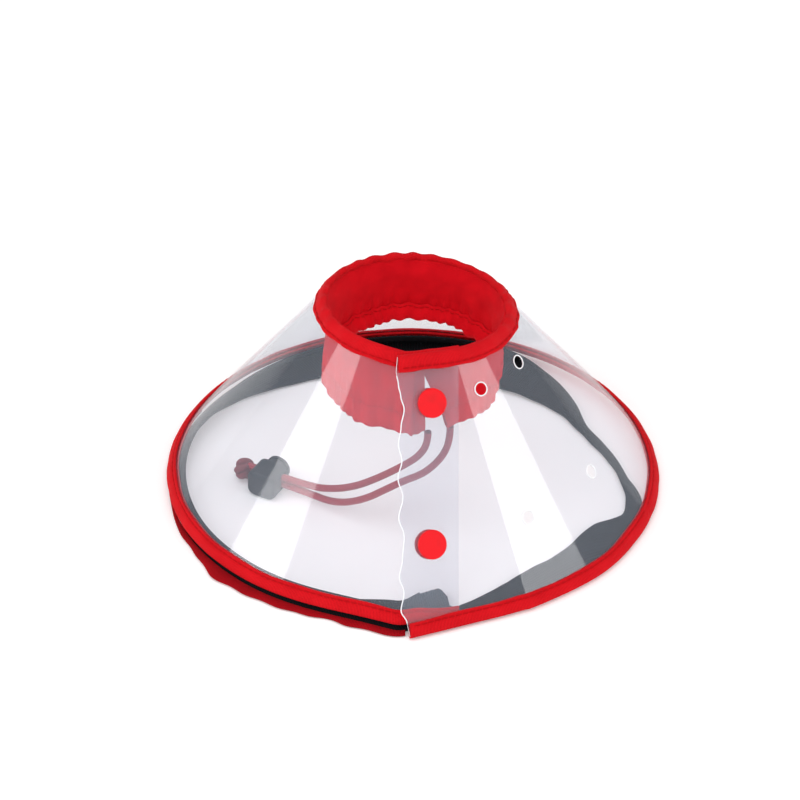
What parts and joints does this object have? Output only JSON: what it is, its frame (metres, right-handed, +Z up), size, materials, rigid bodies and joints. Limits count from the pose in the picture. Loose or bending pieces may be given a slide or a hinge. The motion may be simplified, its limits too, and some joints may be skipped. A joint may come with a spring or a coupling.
{
  "type": "elizabethan collar",
  "caption": "Flared clear plastic cone pet collar with fabric-bound edges, a snap-fastened overlap, a gathered neck lining with a drawstring and cord lock, and an inward skirt at the rim.",
  "frame": {"origin": "centre of the bounding box's foot, on the surface the wide rim rests on", "axes": "+Z up, from the wide rim to the neck opening along the cone's axis; -Y towards the snap-fastened overlap; +X to the right of the overlap"},
  "size_m": [0.2043, 0.2039, 0.0977],
  "materials": {
    "clear_pvc": "clear flexible sheet",
    "red_webbing": "woven binding tape, stitched",
    "black_cloth": "ribbed cloth",
    "red_cloth": "light woven lining, gathered",
    "red_plastic": "glossy moulded",
    "black_plastic": "satin moulded",
    "spring_steel": "drawn wire",
    "cord": "braided cord"
  },
  "bodies": {
    "collar": {"clear_sheet_wall": "clear_pvc", "rim_binding": "red_webbing", "neck_binding": "red_webbing", "neck_lining": "red_cloth", "rim_skirt": "black_cloth", "upper_snap_socket": "red_plastic", "upper_snap_inner_cap": "red_plastic", "lower_snap_socket": "red_plastic", "lower_snap_inner_cap": "red_plastic", "drawstring_in_hem": "cord", "drawstring_left_strand": "cord", "drawstring_right_strand": "cord", "drawstring_knot": "cord"},
    "outer_flap": {"clear_sheet_flap": "clear_pvc", "rim_binding_flap": "red_webbing", "neck_binding_flap": "red_webbing", "rim_skirt_flap": "black_cloth", "upper_snap_cap": "red_plastic", "upper_snap_stud": "red_plastic", "lower_snap_cap": "red_plastic", "lower_snap_stud": "red_plastic"},
    "cord_lock": {"cord_lock_barrel": "black_plastic", "cord_lock_spring": "spring_steel"},
    "lock_button": {"cord_lock_button": "black_plastic"}
  },
  "joints": [
    {"name": "flap_fold", "type": "hinge", "parent": "collar", "child": "outer_flap", "pos_m": [0.0522, -0.07842, 0.00226], "axis": [-0.297, 0.4789, 0.8261], "range_deg": [0, 45]},
    {"name": "cord_lock_slide", "type": "slide", "parent": "collar", "child": "cord_lock", "axis": [0.866, -0.5, 0], "range_m": [0, 0.0075]},
    {"name": "lock_button_press", "type": "slide", "parent": "cord_lock", "child": "lock_button", "axis": [-0.5, -0.866, 0], "range_m": [0, 0.0025], "stiffness_N_per_m": 300, "springref_m": -0.002, "deforming": ["cord_lock_spring"]}
  ]
}
